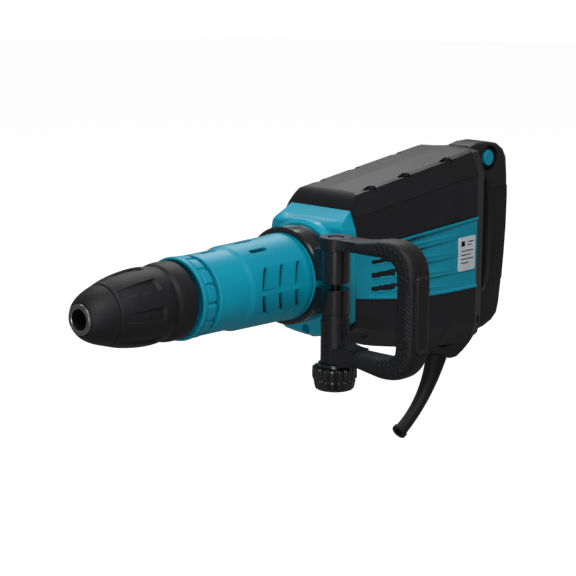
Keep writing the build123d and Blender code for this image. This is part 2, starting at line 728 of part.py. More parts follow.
with BuildPart() as rear_handle:
    side_slab(handle_outline(), -17, 17)
    fillet(
        rear_handle.edges().group_by(Axis.Y)[0] + rear_handle.edges().group_by(Axis.Y)[-1], radius=6,
    )
    # waist under the soft grip
    block(530, 580, -20, 20, GRIP_LOW, GRIP_HIGH, mode=Mode.SUBTRACT)
    block(550, 569, -13.5, 13.5, GRIP_LOW - 1, GRIP_HIGH + 1)
    # tongue and its eye on the hinge pin
    block(PIVOT_X, 512, -12.5, 12.5, -88, -62)
    bar_y(-12.5, 12.5, 9, x=PIVOT_X, z=PIVOT_Z)
    bar_y(-20, 20, PIN_R + RUN_FIT, x=PIVOT_X, z=PIVOT_Z, mode=Mode.SUBTRACT)
    # round recess and slide way of the switch
    bar_y(-20, -11, 13, x=SWITCH_X, z=SWITCH_Z, mode=Mode.SUBTRACT)
    bar_y(11, 20, 13, x=SWITCH_X, z=SWITCH_Z, mode=Mode.SUBTRACT)
    bar_y(-20, 20, 8 + RUN_FIT, x=SWITCH_X, z=SWITCH_Z, mode=Mode.SUBTRACT)
    block(517, 530, -10, 10, 68, 90, mode=Mode.SUBTRACT)
save(rear_handle, "rear_handle")

with BuildPart() as rear_handle_grip:
    side_slab(handle_outline(), -18, 18)
    fillet(
        rear_handle_grip.edges().group_by(Axis.Y)[0] + rear_handle_grip.edges().group_by(Axis.Y)[-1],
        radius=6.5,
    )
    block(500, 580, -20, 20, GRIP_HIGH, 110, mode=Mode.SUBTRACT)
    block(480, 580, -20, 20, -110, GRIP_LOW, mode=Mode.SUBTRACT)
    block(550, 569, -13.5, 13.5, GRIP_LOW - 1, GRIP_HIGH + 1, mode=Mode.SUBTRACT)
save(rear_handle_grip, "rear_handle_grip")

with BuildPart() as handle_pivot_pin:
    bar_y(-37, 37, PIN_R, x=PIVOT_X, z=PIVOT_Z)
save(handle_pivot_pin, "handle_pivot_pin")

with BuildPart() as handle_spring:
    coil_spring((507.1, 0, 80), (1, 0, 0), 2, 1.9, 7, 0.7)
save(handle_spring, "handle_spring")

with BuildPart() as handle_bellows:
    block(506.2, 511.8, -16, 16, 66, 94)
    block(506, 512, -13, 13, 69, 91, mode=Mode.SUBTRACT)
save(handle_bellows, "handle_bellows")

with BuildPart() as switch_lever:
    bar_y(-16.5, 8.5, 8, x=SWITCH_X, z=SWITCH_Z)
save(switch_lever, "switch_lever")

with BuildPart() as switch_module:
    block(517.3, 529.7, -9.7, 9.7, 68.3, 89.7)
save(switch_module, "switch_module")

with BuildPart() as speed_dial:
    bar_x(503.2, 508.5, DIAL_R, y=DIAL_Y, z=DIAL_Z)
    block(507.6, 509, DIAL_Y - 0.8, DIAL_Y + 0.8, DIAL_Z, DIAL_Z + 8, mode=Mode.SUBTRACT)
save(speed_dial, "speed_dial")

with BuildPart() as indicator_lenses:
    for z in LAMP_Z:
        bar_x(504, 506.6, LAMP_R, y=-DIAL_Y, z=z)
save(indicator_lenses, "indicator_lenses")

with BuildPart() as controller:
    block(470.5, 485, -28, 28, -46, 30)
save(controller, "controller")

# ---- cord outlet ----

GUARD_CORD_R, GUARD_ROOT_R, GUARD_MIDDLE_R, GUARD_TIP_R = 4, 12, 8.6, 6.6

with BuildPart() as cord_guard:
    with BuildLine():
        guard_path = ThreePointArc(GUARD_TOP, GUARD_MIDDLE, GUARD_TIP)
    guard_rings = []
    for place, ring_r in ((0, GUARD_ROOT_R), (0.3, GUARD_MIDDLE_R), (1, GUARD_TIP_R)):
        with BuildSketch(Plane(origin=guard_path @ place, z_dir=guard_path % place)) as guard_ring:
            Circle(ring_r)
        guard_rings.append(guard_ring.sketch)
    sweep(sections=guard_rings, path=guard_path, multisection=True)
    with BuildSketch(Plane(origin=guard_path @ 1, z_dir=guard_path % 1)) as rim:
        Circle(GUARD_TIP_R + 1.2)
    extrude(rim.sketch, amount=-3.5)
    with BuildSketch(Plane(origin=guard_path @ 0, z_dir=guard_path % 0)) as cord_bore:
        Circle(GUARD_CORD_R)
    sweep(cord_bore.sketch, path=guard_path, mode=Mode.SUBTRACT)
save(cord_guard, "cord_guard")

# rounded lobe under the rear corner that holds the guard's root
with BuildPart() as cord_clamp:
    side_slab([
        (455, -98.2), (488, -98.2), (506, -92.2), (507, -95), (500, -101), (490, -107), (479, -112),
        (468, -112), (461, -108),
    ], -28, 28)
    with BuildSketch(Plane(origin=guard_path @ 0, z_dir=guard_path % 0)) as seat:
        Circle(GUARD_ROOT_R)
    extrude(seat.sketch, amount=30, mode=Mode.SUBTRACT)
save(cord_clamp, "cord_clamp")

# ---- side handle: split band, bolt, swinging grip and knob ----

LUG_TOP, LUG_BOTTOM, LUG_R = 31, -26, 13
SPLIT_TOP, SPLIT_BOTTOM = 2, -4

with BuildPart() as clamp_band:
    turned([
        (BAND_START, NECK_R + AIR_GAP), (BAND_END, NECK_R + AIR_GAP), (BAND_END, BAND_R - 1.5),
        (BAND_END - 1.5, BAND_R), (BAND_START + 1.5, BAND_R), (BAND_START, BAND_R - 1.5),
    ])
    # round lugs on the bolt's axis, carried on a web from the band
    bar_z(LUG_BOTTOM, LUG_TOP, LUG_R, BOLT_X, BOLT_Y)
    block(BAND_START, BOLT_X + LUG_R - 0.5, BOLT_Y, -38, LUG_BOTTOM, LUG_TOP)
    bar_x(BAND_START - 5, BAND_END + 5, NECK_R + AIR_GAP, mode=Mode.SUBTRACT)
    block(240, 280, -75, -30, SPLIT_BOTTOM, SPLIT_TOP, mode=Mode.SUBTRACT)
    bar_z(-40, 40, BOLT_R, BOLT_X, BOLT_Y, mode=Mode.SUBTRACT)
save(clamp_band, "clamp_band")

KNOB_TOP, KNOB_BOTTOM = -71.3, -96
KNOB_R = 20.5
TUBE_R = 13
HEAD_SEAT = 37.5

with BuildPart() as clamp_bolt:
    bar_z(-86, HEAD_SEAT + 1, BOLT_R, BOLT_X, BOLT_Y)
    with BuildSketch(Plane(origin=(BOLT_X, BOLT_Y, HEAD_SEAT + 0.2))) as hexagon:
        RegularPolygon(6.5, 6)
    extrude(hexagon.sketch, amount=4.6)
save(clamp_bolt, "clamp_bolt")

with BuildPart() as clamp_knob:
    bar_z(KNOB_TOP - 4, KNOB_TOP, 15, BOLT_X, BOLT_Y)
    bar_z(KNOB_TOP - 14, KNOB_TOP - 4, KNOB_R, BOLT_X, BOLT_Y)
    bar_z(KNOB_BOTTOM, KNOB_TOP - 14, KNOB_R - 2, BOLT_X, BOLT_Y)
    for index in range(16):
        angle = 2 * math.pi * index / 16
        groove_x = BOLT_X + (KNOB_R + 0.6) * math.cos(angle)
        groove_y = BOLT_Y + (KNOB_R + 0.6) * math.sin(angle)
        bar_z(KNOB_BOTTOM - 1, KNOB_TOP - 4, 1.6, groove_x, groove_y, mode=Mode.SUBTRACT)
    bar_z(KNOB_BOTTOM + 6, KNOB_TOP + 1, BOLT_R + RUN_FIT, BOLT_X, BOLT_Y, mode=Mode.SUBTRACT)
save(clamp_knob, "clamp_knob")

ARM_NEAR = -88
ARM_HALF, SOFT_HALF = 11.5, 13.5


# the D of the grip seen from the front, in (y, z): a closed ring round the finger gap
def grip_outer():
    return [
        (BOLT_Y, 33.5), (BOLT_Y, 42.5), (ARM_NEAR, 43), (-128, 48.5), (-143, 46.5), (-152.5, 38.5),
        (-157, 24), (-157, -50), (-153, -64), (-143, -73), (-128, -75.5), (ARM_NEAR, -71),
        (BOLT_Y, -70.5), (BOLT_Y, -56),
    ]


def grip_inner():
    return [
        (ARM_NEAR + 6, -56), (-122, -55), (-131.5, -51), (-135, -42), (-135, 20), (-131.5, 28),
        (-122, 32), (ARM_NEAR, 33.5),
    ]


with BuildPart() as side_grip_frame:
    front_slab(grip_outer() + grip_inner(), BOLT_X - ARM_HALF, BOLT_X + ARM_HALF)
    # the soft cover takes over past this plane
    block(200, 300, -170, ARM_NEAR, -90, 70, mode=Mode.SUBTRACT)
    # slim core inside the soft cover
    front_slab([
        (ARM_NEAR + 0.1, 35), (ARM_NEAR + 0.1, 40), (-140, 42), (-150, 34), (-150, -59), (-140, -68),
        (ARM_NEAR + 0.1, -67), (ARM_NEAR + 0.1, -60), (-136, -60), (-141, -52), (-141, 28), (-136, 35),
    ], BOLT_X - 5, BOLT_X + 5)
    bar_z(LUG_TOP + AIR_GAP, 43, EYE_R, BOLT_X, BOLT_Y)
    bar_z(-71, -32.3, TUBE_R, BOLT_X, BOLT_Y)
    bar_z(-32.3, LUG_BOTTOM - AIR_GAP, TUBE_R - 0.8, BOLT_X, BOLT_Y)
    bar_z(-80, 50, BOLT_R + RUN_FIT, BOLT_X, BOLT_Y, mode=Mode.SUBTRACT)
    bar_z(HEAD_SEAT, 50, 7.5, BOLT_X, BOLT_Y, mode=Mode.SUBTRACT)
save(side_grip_frame, "side_grip_frame")

with BuildPart() as side_grip_overmould:
    front_slab(grip_outer() + grip_inner(), BOLT_X - SOFT_HALF, BOLT_X + SOFT_HALF)
    block(200, 300, ARM_NEAR, -40, -90, 70, mode=Mode.SUBTRACT)
    add(side_grip_frame.part, mode=Mode.SUBTRACT)
save(side_grip_overmould, "side_grip_overmould")
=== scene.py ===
import bmesh
import bpy
import json
import math
from mathutils import Matrix, Vector


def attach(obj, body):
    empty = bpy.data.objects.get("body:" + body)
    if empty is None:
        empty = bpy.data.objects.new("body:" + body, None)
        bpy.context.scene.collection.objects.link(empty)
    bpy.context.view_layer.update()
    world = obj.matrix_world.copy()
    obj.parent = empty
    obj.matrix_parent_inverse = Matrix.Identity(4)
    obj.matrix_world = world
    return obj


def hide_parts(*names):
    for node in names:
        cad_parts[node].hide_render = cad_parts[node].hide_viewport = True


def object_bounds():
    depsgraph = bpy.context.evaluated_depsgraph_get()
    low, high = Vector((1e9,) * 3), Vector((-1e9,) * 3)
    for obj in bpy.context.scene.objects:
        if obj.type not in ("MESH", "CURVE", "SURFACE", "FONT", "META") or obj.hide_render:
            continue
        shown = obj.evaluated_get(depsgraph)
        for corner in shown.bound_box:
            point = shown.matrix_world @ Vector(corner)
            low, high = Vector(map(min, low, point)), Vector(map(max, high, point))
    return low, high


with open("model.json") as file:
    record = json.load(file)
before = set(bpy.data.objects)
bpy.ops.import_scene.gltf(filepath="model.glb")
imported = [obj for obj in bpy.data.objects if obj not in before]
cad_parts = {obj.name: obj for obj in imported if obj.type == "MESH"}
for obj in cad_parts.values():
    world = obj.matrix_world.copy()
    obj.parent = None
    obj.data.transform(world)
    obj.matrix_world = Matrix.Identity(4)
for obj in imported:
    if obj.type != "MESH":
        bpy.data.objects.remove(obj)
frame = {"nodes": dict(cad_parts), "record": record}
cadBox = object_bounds()
scene = bpy.context.scene
mm = 0.001
tau = 2 * math.pi


def linearColour(hexText):
    parts = [int(hexText[i:i + 2], 16) / 255 for i in (1, 3, 5)]
    return tuple(c / 12.92 if c <= 0.04045 else ((c + 0.055) / 1.055) ** 2.4 for c in parts) + (1.0,)


def addNode(tree, kind, settings, links=None):
    node = tree.nodes.new(kind)
    for key, value in settings.items():
        if isinstance(key, int) or key in node.inputs:
            node.inputs[key].default_value = value
        else:
            setattr(node, key, value)
    for key, source in (links or {}).items():
        tree.links.new(source, node.inputs[key])
    return node


def perMm(size):
    return 1 / (size * mm)  # a pattern's scale from its real size in mm, on Object coordinates in metres


def newMaterial(name):
    material = bpy.data.materials.new(name)
    material.use_nodes = True
    material.node_tree.nodes.clear()
    return material, material.node_tree


def mouldedPlastic(name, look):
    # glass-filled nylon, ABS or elastomer from a spark-eroded mould: a fine even grain that breaks the
    # highlights up, and slow patches of sheen where hands and dust have been; an ior under 1.4 is below the
    # real plastic's and only keeps the sheen low
    material, tree = newMaterial(name)
    place = addNode(tree, "ShaderNodeTexCoord", {})
    grain = addNode(tree, "ShaderNodeTexNoise", {"Scale": perMm(look["grainMm"]), "Detail": 2.0,
                    "Roughness": 0.6}, {"Vector": place.outputs["Object"]})
    patches = addNode(tree, "ShaderNodeTexNoise", {"Scale": perMm(look["patchMm"]), "Detail": 3.0},
                      {"Vector": place.outputs["Object"]})
    tone = addNode(tree, "ShaderNodeValToRGB", {}, {"Fac": patches.outputs["Fac"]})
    tone.color_ramp.elements[0].position = 0.3
    tone.color_ramp.elements[1].position = 0.7
    tone.color_ramp.elements[0].color = linearColour(look["colours"][0])
    tone.color_ramp.elements[1].color = linearColour(look["colours"][1])
    low, high = look["roughness"]
    sheen = addNode(tree, "ShaderNodeMapRange", {"To Min": low, "To Max": high},
                    {"Value": grain.outputs["Fac"]})
    bump = addNode(tree, "ShaderNodeBump", {"Strength": look["bump"], "Distance": look["depthMm"] * mm},
                   {"Height": grain.outputs["Fac"]})
    shader = addNode(tree, "ShaderNodeBsdfPrincipled", {"IOR": look["ior"], "Coat Weight": look["coat"],
                     "Coat Roughness": 0.18},
                     {"Base Color": tone.outputs["Color"], "Roughness": sheen.outputs["Result"],
                      "Normal": bump.outputs["Normal"]})
    addNode(tree, "ShaderNodeOutputMaterial", {}, {"Surface": shader.outputs["BSDF"]})
    return material


def turnedSteel(name, look):
    # hardened steel, turned and ground: fine rings round the axis that stretch the highlight
    material, tree = newMaterial(name)
    place = addNode(tree, "ShaderNodeTexCoord", {})
    stretch = addNode(tree, "ShaderNodeMapping", {"Scale": look["stretch"]},
                      {"Vector": place.outputs["Object"]})
    rings = addNode(tree, "ShaderNodeTexNoise", {"Scale": perMm(look["ringMm"]), "Detail": 2.0},
                    {"Vector": stretch.outputs["Vector"]})
    smudge = addNode(tree, "ShaderNodeTexNoise", {"Scale": perMm(14), "Detail": 4.0},
                     {"Vector": place.outputs["Object"]})
    tone = addNode(tree, "ShaderNodeValToRGB", {}, {"Fac": smudge.outputs["Fac"]})
    tone.color_ramp.elements[0].color = linearColour(look["colours"][0])
    tone.color_ramp.elements[1].color = linearColour(look["colours"][1])
    low, high = look["roughness"]
    rough = addNode(tree, "ShaderNodeMapRange", {"To Min": low, "To Max": high},
                    {"Value": rings.outputs["Fac"]})
    bump = addNode(tree, "ShaderNodeBump", {"Strength": 0.25, "Distance": 0.02 * mm},
                   {"Height": rings.outputs["Fac"]})
    shader = addNode(tree, "ShaderNodeBsdfPrincipled", {"Metallic": 1.0},
                     {"Base Color": tone.outputs["Color"], "Roughness": rough.outputs["Result"],
                      "Normal": bump.outputs["Normal"]})
    addNode(tree, "ShaderNodeOutputMaterial", {}, {"Surface": shader.outputs["BSDF"]})
    return material


nylonBlack = mouldedPlastic("glassFilledNylonBlack", {
    "colours": ("#131316", "#1a1a1e"), "grainMm": 0.45, "patchMm": 45, "roughness": (0.34, 0.48),
    "bump": 0.35, "depthMm": 0.05, "ior": 1.38, "coat": 0.0})
nylonGrey = mouldedPlastic("glassFilledNylonCharcoal", {
    "colours": ("#141416", "#1b1b1e"), "grainMm": 0.45, "patchMm": 40, "roughness": (0.42, 0.56),
    "bump": 0.35, "depthMm": 0.05, "ior": 1.38, "coat": 0.0})
elastomer = mouldedPlastic("softTouchElastomer", {
    "colours": ("#121214", "#19191c"), "grainMm": 0.6, "patchMm": 25, "roughness": (0.5, 0.68),
    "bump": 0.5, "depthMm": 0.08, "ior": 1.38, "coat": 0.0})
glossBlack = mouldedPlastic("polishedBlackNylon", {
    "colours": ("#0c0c0d", "#121214"), "grainMm": 2.5, "patchMm": 30, "roughness": (0.16, 0.24),
    "bump": 0.1, "depthMm": 0.03, "ior": 1.52, "coat": 0.3})
tealPlastic = mouldedPlastic("tealNylon", {
    "colours": ("#0089a3", "#0093ad"), "grainMm": 0.5, "patchMm": 50, "roughness": (0.38, 0.5),
    "bump": 0.25, "depthMm": 0.04, "ior": 1.36, "coat": 0.0})
tealEnamel = mouldedPlastic("tealEnamelOnCastAluminium", {
    "colours": ("#0095b0", "#009eb9"), "grainMm": 1.6, "patchMm": 40, "roughness": (0.34, 0.44),
    "bump": 0.3, "depthMm": 0.06, "ior": 1.38, "coat": 0.1})
groundSteel = turnedSteel("groundToolSteel", {
    "colours": ("#7d7c7b", "#a9a8a5"), "ringMm": 0.5, "stretch": (6.0, 1.0, 1.0), "roughness": (0.22, 0.36)})
blackSteel = turnedSteel("blackenedSteel", {
    "colours": ("#1d1d1f", "#2d2d30"), "ringMm": 0.5, "stretch": (1.0, 1.0, 1.0), "roughness": (0.35, 0.5)})
castAluminium = turnedSteel("dieCastAluminium", {
    "colours": ("#a9abad", "#c2c4c6"), "ringMm": 1.2, "stretch": (1.0, 1.0, 1.0), "roughness": (0.38, 0.52)})
copper = turnedSteel("commutatorCopper", {
    "colours": ("#b36a3c", "#cf8a58"), "ringMm": 0.6, "stretch": (1.0, 1.0, 1.0), "roughness": (0.25, 0.4)})
printedPlate = mouldedPlastic("printedPolyesterPlate", {
    "colours": ("#c6ced4", "#d0d7dc"), "grainMm": 1.2, "patchMm": 20, "roughness": (0.3, 0.38),
    "bump": 0.05, "depthMm": 0.02, "ior": 1.5, "coat": 0.2})
plateInk = mouldedPlastic("greyPlateInk", {
    "colours": ("#3c444c", "#474f57"), "grainMm": 1.2, "patchMm": 20, "roughness": (0.4, 0.5),
    "bump": 0.05, "depthMm": 0.02, "ior": 1.38, "coat": 0.0})
lampGreen = mouldedPlastic("greenLampLens", {
    "colours": ("#1d8a3c", "#2aa34b"), "grainMm": 3, "patchMm": 10, "roughness": (0.1, 0.16),
    "bump": 0.0, "depthMm": 0.02, "ior": 1.5, "coat": 0.6})
print("materials made")


def placePiece(bm, name, material, body, replaced=(), sharpAngle=32):
    mesh = bpy.data.meshes.new(name)
    bm.to_mesh(mesh)
    bm.free()
    mesh.polygons.foreach_set("use_smooth", [True] * len(mesh.polygons))
    mesh.set_sharp_from_angle(angle=math.radians(sharpAngle))
    mesh.materials.append(material)
    piece = bpy.data.objects.new(name, mesh)
    scene.collection.objects.link(piece)
    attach(piece, body)
    if replaced:
        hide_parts(*replaced)
    return piece


def roundEdges(piece, radius, segments=3, angle=32):
    bevel = piece.modifiers.new("roundedEdges", "BEVEL")
    bevel.width = radius * mm
    bevel.segments = segments
    bevel.limit_method = "ANGLE"
    bevel.angle_limit = math.radians(angle)
    bevel.harden_normals = True
    bevel.miter_outer = "MITER_ARC"
    return piece


def profileRing(bm, profile, across, along, origin):
    # a closed chain of edges from (distance along, distance across) points in mm
    along, across, origin = Vector(along), Vector(across), Vector(origin)
    verts = [bm.verts.new(origin + (along * a + across * r) * mm) for a, r in profile]
    edges = [bm.edges.new(pair) for pair in zip(verts, verts[1:] + verts[:1])]
    return verts, edges


def spun(profile, steps, axis=(1, 0, 0), origin=(0, 0, 0), across=(0, 0, 1)):
    bm = bmesh.new()
    verts, edges = profileRing(bm, profile, across, axis, origin)
    bmesh.ops.spin(bm, geom=verts + edges, cent=origin, axis=axis, angle=tau, steps=steps, use_merge=True)
    bmesh.ops.remove_doubles(bm, verts=bm.verts[:], dist=0.002 * mm)
    bmesh.ops.recalc_face_normals(bm, faces=bm.faces[:])
    return bm


def cadCopy(node):
    # the CAD node's own shape with its loose triangles joined up
    bm = bmesh.new()
    bm.from_mesh(frame["nodes"][node].data)
    bmesh.ops.remove_doubles(bm, verts=bm.verts[:], dist=0.005 * mm)
    bmesh.ops.dissolve_limit(bm, angle_limit=math.radians(0.6), verts=bm.verts[:], edges=bm.edges[:])
    return bm


def smoothStep(low, high, value):
    part = min(max((value - low) / (high - low), 0), 1)
    return part * part * (3 - 2 * part)


def cutWith(piece, cutters):
    # boolean cuts, applied one after another, and the cutters removed
    for cutter in cutters:
        knife = piece.modifiers.new("cut", "BOOLEAN")
        knife.operation = "DIFFERENCE"
        knife.solver = "EXACT"
        knife.object = cutter
    graph = bpy.context.evaluated_depsgraph_get()
    mesh = bpy.data.meshes.new_from_object(piece.evaluated_get(graph))
    piece.modifiers.clear()
    piece.data = mesh
    for cutter in cutters:
        bpy.data.objects.remove(cutter)
    return piece


def cutterFrom(bm):
    mesh = bpy.data.meshes.new("cutter")
    bm.to_mesh(mesh)
    bm.free()
    cutter = bpy.data.objects.new("cutter", mesh)
    scene.collection.objects.link(cutter)
    return cutter


view = {"heading": 41.74, "down": 11.89, "roll": 0.44, "place": (-1.0131, -1.1324, 0.3459), "lens": 118.75}


def makeCamera():
    heading, down, roll = (math.radians(view[key]) for key in ("heading", "down", "roll"))
    level = Vector((math.cos(heading), math.sin(heading), 0))
    forward = level * math.cos(down) - Vector((0, 0, math.sin(down)))
    right = Vector((math.sin(heading), -math.cos(heading), 0))
    up = right.cross(forward)
    turnedRight = right * math.cos(roll) + up * math.sin(roll)
    turnedUp = up * math.cos(roll) - right * math.sin(roll)
    turn = Matrix((turnedRight, turnedUp, -forward)).transposed().to_4x4()
    data = bpy.data.cameras.new("camera")
    data.lens = view["lens"]
    data.sensor_width = 36
    data.clip_start, data.clip_end = 0.05, 20
    camera = bpy.data.objects.new("camera", data)
    camera.matrix_world = Matrix.Translation(view["place"]) @ turn
    scene.collection.objects.link(camera)
    scene.camera = camera


studio = {
    "world": 0.2, "paper": 0.92, "dome": 5.5,
    "key": {"place": (-0.55, -1.0, 1.65), "size": 0.8, "power": 27},
    "front": {"place": (-1.5, -1.1, 0.15), "size": 0.7, "power": 12},
    "back": {"place": (1.0, 0.7, 1.1), "size": 0.7, "power": 10},
}


def makeLight(name, settings, target):
    data = bpy.data.lights.new(name, "AREA")
    data.size = settings["size"]
    data.energy = settings["power"]
    light = bpy.data.objects.new(name, data)
    light.location = settings["place"]
    light.rotation_mode = "QUATERNION"
    light.rotation_quaternion = (Vector(settings["place"]) - target).to_track_quat("Z", "Y")
    scene.collection.objects.link(light)


def makeStage(name, bm, glow):
    mesh = bpy.data.meshes.new(name)
    bm.to_mesh(mesh)
    bm.free()
    material, tree = newMaterial(name + "Paper")
    soft = addNode(tree, "ShaderNodeBsdfDiffuse", {"Color": linearColour("#8c8c8c")})
    white = addNode(tree, "ShaderNodeEmission", {"Strength": glow})
    both = addNode(tree, "ShaderNodeAddShader", {}, {0: soft.outputs["BSDF"], 1: white.outputs["Emission"]})
    addNode(tree, "ShaderNodeOutputMaterial", {}, {"Surface": both.outputs["Shader"]})
    mesh.materials.append(material)
    stage = bpy.data.objects.new(name, mesh)
    stage.visible_diffuse = False
    stage.visible_glossy = False
    stage.visible_shadow = False
    scene.collection.objects.link(stage)


def makeStudio():
    world = bpy.data.worlds.new("studio")
    world.use_nodes = True
    world.node_tree.nodes["Background"].inputs["Color"].default_value = (1, 1, 1, 1)
    world.node_tree.nodes["Background"].inputs["Strength"].default_value = studio["world"]
    scene.world = world
    target = (cadBox[0] + cadBox[1]) / 2
    for name in ("key", "front", "back"):
        makeLight(name, studio[name], target)
    # pale paper: mostly its own even white, with a little of the lamps' light for a faint soft shadow
    bm = bmesh.new()
    bmesh.ops.create_grid(bm, x_segments=1, y_segments=1, size=studio["dome"])
    bmesh.ops.translate(bm, verts=bm.verts[:], vec=(0.3, 0, cadBox[0].z - 0.3 * mm))
    makeStage("floor", bm, studio["paper"])
    bm = bmesh.new()
    bmesh.ops.create_icosphere(bm, subdivisions=5, radius=studio["dome"])
    bmesh.ops.reverse_faces(bm, faces=bm.faces[:])
    makeStage("backdrop", bm, 1.0)


makeCamera()
makeStudio()
scene.view_settings.view_transform = "Standard"
print("camera and studio made")


def bezier(start, bend, end, count):
    points = []
    for step in range(count + 1):
        t = step / count
        points.append(tuple((1 - t) ** 2 * a + 2 * t * (1 - t) * b + t * t * c
                            for a, b, c in zip(start, bend, end)))
    return points


def smoothChain(points, step):
    # a Catmull-Rom curve through the points, about one step apart
    chain = []
    ends = [points[0]] + list(points) + [points[-1]]
    for p0, p1, p2, p3 in zip(ends, ends[1:], ends[2:], ends[3:]):
        count = max(2, int(math.dist(p1[:2], p2[:2]) / step))
        for k in range(count):
            t = k / count
            chain.append(tuple(0.5 * (2 * b + (c - a) * t + (2 * a - 5 * b + 4 * c - d) * t * t
                                      + (3 * b - a - 3 * c + d) * t ** 3)
                               for a, b, c, d in zip(p0, p1, p2, p3)))
    return chain + [tuple(points[-1])]


def prism(points, low, high, axis="y"):
    # an outline pushed along one axis: (x, z) outlines along y, (y, z) along x, (x, y) along z
    place = {"y": lambda a, b, h: (a, h, b), "x": lambda a, b, h: (h, a, b),
             "z": lambda a, b, h: (a, b, h)}[axis]
    bm = bmesh.new()
    base = bm.faces.new([bm.verts.new(Vector(place(a, b, low)) * mm) for a, b in points])
    grown = bmesh.ops.extrude_face_region(bm, geom=[base])
    moved = [v for v in grown["geom"] if isinstance(v, bmesh.types.BMVert)]
    bmesh.ops.translate(bm, verts=moved, vec=(Vector(place(0, 0, high)) - Vector(place(0, 0, low))) * mm)
    bmesh.ops.recalc_face_normals(bm, faces=bm.faces[:])
    return bm


def slotOutline(x0, x1, middle, r0, r1, count=10):
    # a long hole's outline with its two end radii
    points = []
    for centre, radius, start in ((x1, r1, -0.5), (x0, r0, 0.5)):
        for step in range(count + 1):
            angle = math.pi * (start + step / count)
            points.append((centre + radius * math.cos(angle), middle + radius * math.sin(angle)))
    return points


toolHolder = {
    "profile": [(0.4, 9.05), (92, 9.05), (92, 11), (172, 11), (172, 17), (96, 17), (96, 15), (18, 15),
                (18, 13.3), (1.4, 13.3), (0.4, 12.9), (0, 12.3), (0, 11.5), (0.6, 11.3), (0.6, 10.9),
                (0.1, 10.7), (0.1, 9.4)],
    "steps": 128,
}
piece = placePiece(spun(toolHolder["profile"], toolHolder["steps"]), "toolHolder", groundSteel, "chuck",
                   ("tool_holder",))
noseCap = {"start": (2, 14.2), "bend": (6.5, 20.9), "end": (23.4, 25.6), "steps": 160}
capProfile = bezier(noseCap["start"], noseCap["bend"], noseCap["end"], 28)
capProfile += [(24, 25.2), (24, 15), (18, 15), (18, 13.35), (2.6, 13.35), (2, 13.7)]
placePiece(spun(capProfile, noseCap["steps"]), "noseCap", elastomer, "chuck", ("nose_cap",))

sleeve = {
    "outer": [(24.6, 25.2), (25.4, 26.1), (31, 28), (38, 29.9), (46, 31.4), (56, 32.8), (66, 33.5),
              (74, 33.4),
              (80.5, 32.6), (83, 31.7), (85, 31.9), (88, 33.6), (93, 34.4), (98, 34.5), (103.6, 34.5),
              (104.6, 34.1), (105, 33.4)],
    "inner": [(105, 31.7), (97, 30.4), (66, 29.3), (66, 15.1), (60, 15.1), (60, 17.7), (42, 17.7), (42, 20.5),
              (60, 20.5), (60, 28.5), (38, 25.5), (24.6, 21.8)],
    "steps": 480, "grid": 1.1,
    "flutes": 8, "fluteStart": 27, "fluteEnd": 67.5, "fluteDepth": 2.4, "halfAngle": (7.6, 9.6),
}


def makeSleeve():
    bm = spun(smoothChain(sleeve["outer"], sleeve["grid"]) + sleeve["inner"], sleeve["steps"])
    pitch = 360 / sleeve["flutes"]
    for vert in bm.verts:
        x, r = vert.co.x / mm, math.hypot(vert.co.y, vert.co.z) / mm
        if r < 25 + 0.12 * (x - 24) or not sleeve["fluteStart"] < x < sleeve["fluteEnd"] + 1:
            continue
        angle = math.degrees(math.atan2(vert.co.z, -vert.co.y))
        away = abs((angle + pitch / 2) % pitch - pitch / 2)
        part = (x - sleeve["fluteStart"]) / (sleeve["fluteEnd"] - sleeve["fluteStart"])
        half = sleeve["halfAngle"][0] + (sleeve["halfAngle"][1] - sleeve["halfAngle"][0]) * part
        edge = 1 - smoothStep(half - 0.3, half + 0.5, away)
        wall = 1 - smoothStep(sleeve["fluteEnd"] - 0.9, sleeve["fluteEnd"] + 0.5, x)
        depth = sleeve["fluteDepth"] * (0.12 + 0.88 * min(part, 1)) * edge * wall * smoothStep(0, 0.05, part)
        vert.co.y *= 1 - depth / r
        vert.co.z *= 1 - depth / r
    return placePiece(bm, "chuckSleeve", elastomer, "sleeve", ("chuck_sleeve",), 50)


makeSleeve()

ring = {
    "outer": [(109.9, 35.4), (110.2, 36.3), (111.2, 36.6), (113.6, 36.6), (114.6, 36.1), (115.2, 34.9),
              (116.2, 35.0), (117.2, 36.0), (124.6, 36.0), (126.4, 35.2), (127, 34.2)],
    "inner": [(127, 17.1), (119.5, 17.1), (119.5, 33.4), (114, 33.4), (113.6, 34.8), (109.9, 34.8)],
    "ribs": 14, "steps": 336, "grooveDepth": 1.5, "grooveShare": 0.2,
}


def makeRing():
    bm = spun(smoothChain(ring["outer"], 0.6) + ring["inner"], ring["steps"])
    for vert in bm.verts:
        x, r = vert.co.x / mm, math.hypot(vert.co.y, vert.co.z) / mm
        if r < 33.8 or x < 115.4:
            continue
        share = (math.atan2(vert.co.z, -vert.co.y) / tau * ring["ribs"] + 0.02) % 1
        away = min(share, 1 - share)
        half = ring["grooveShare"] / 2
        depth = ring["grooveDepth"] * (1 - smoothStep(half - 0.02, half + 0.05, away))
        vert.co.y *= 1 - depth / r
        vert.co.z *= 1 - depth / r
    return placePiece(bm, "changeRing", tealPlastic, "angle_ring", ("change_ring",), 45)


makeRing()
print("chuck made")

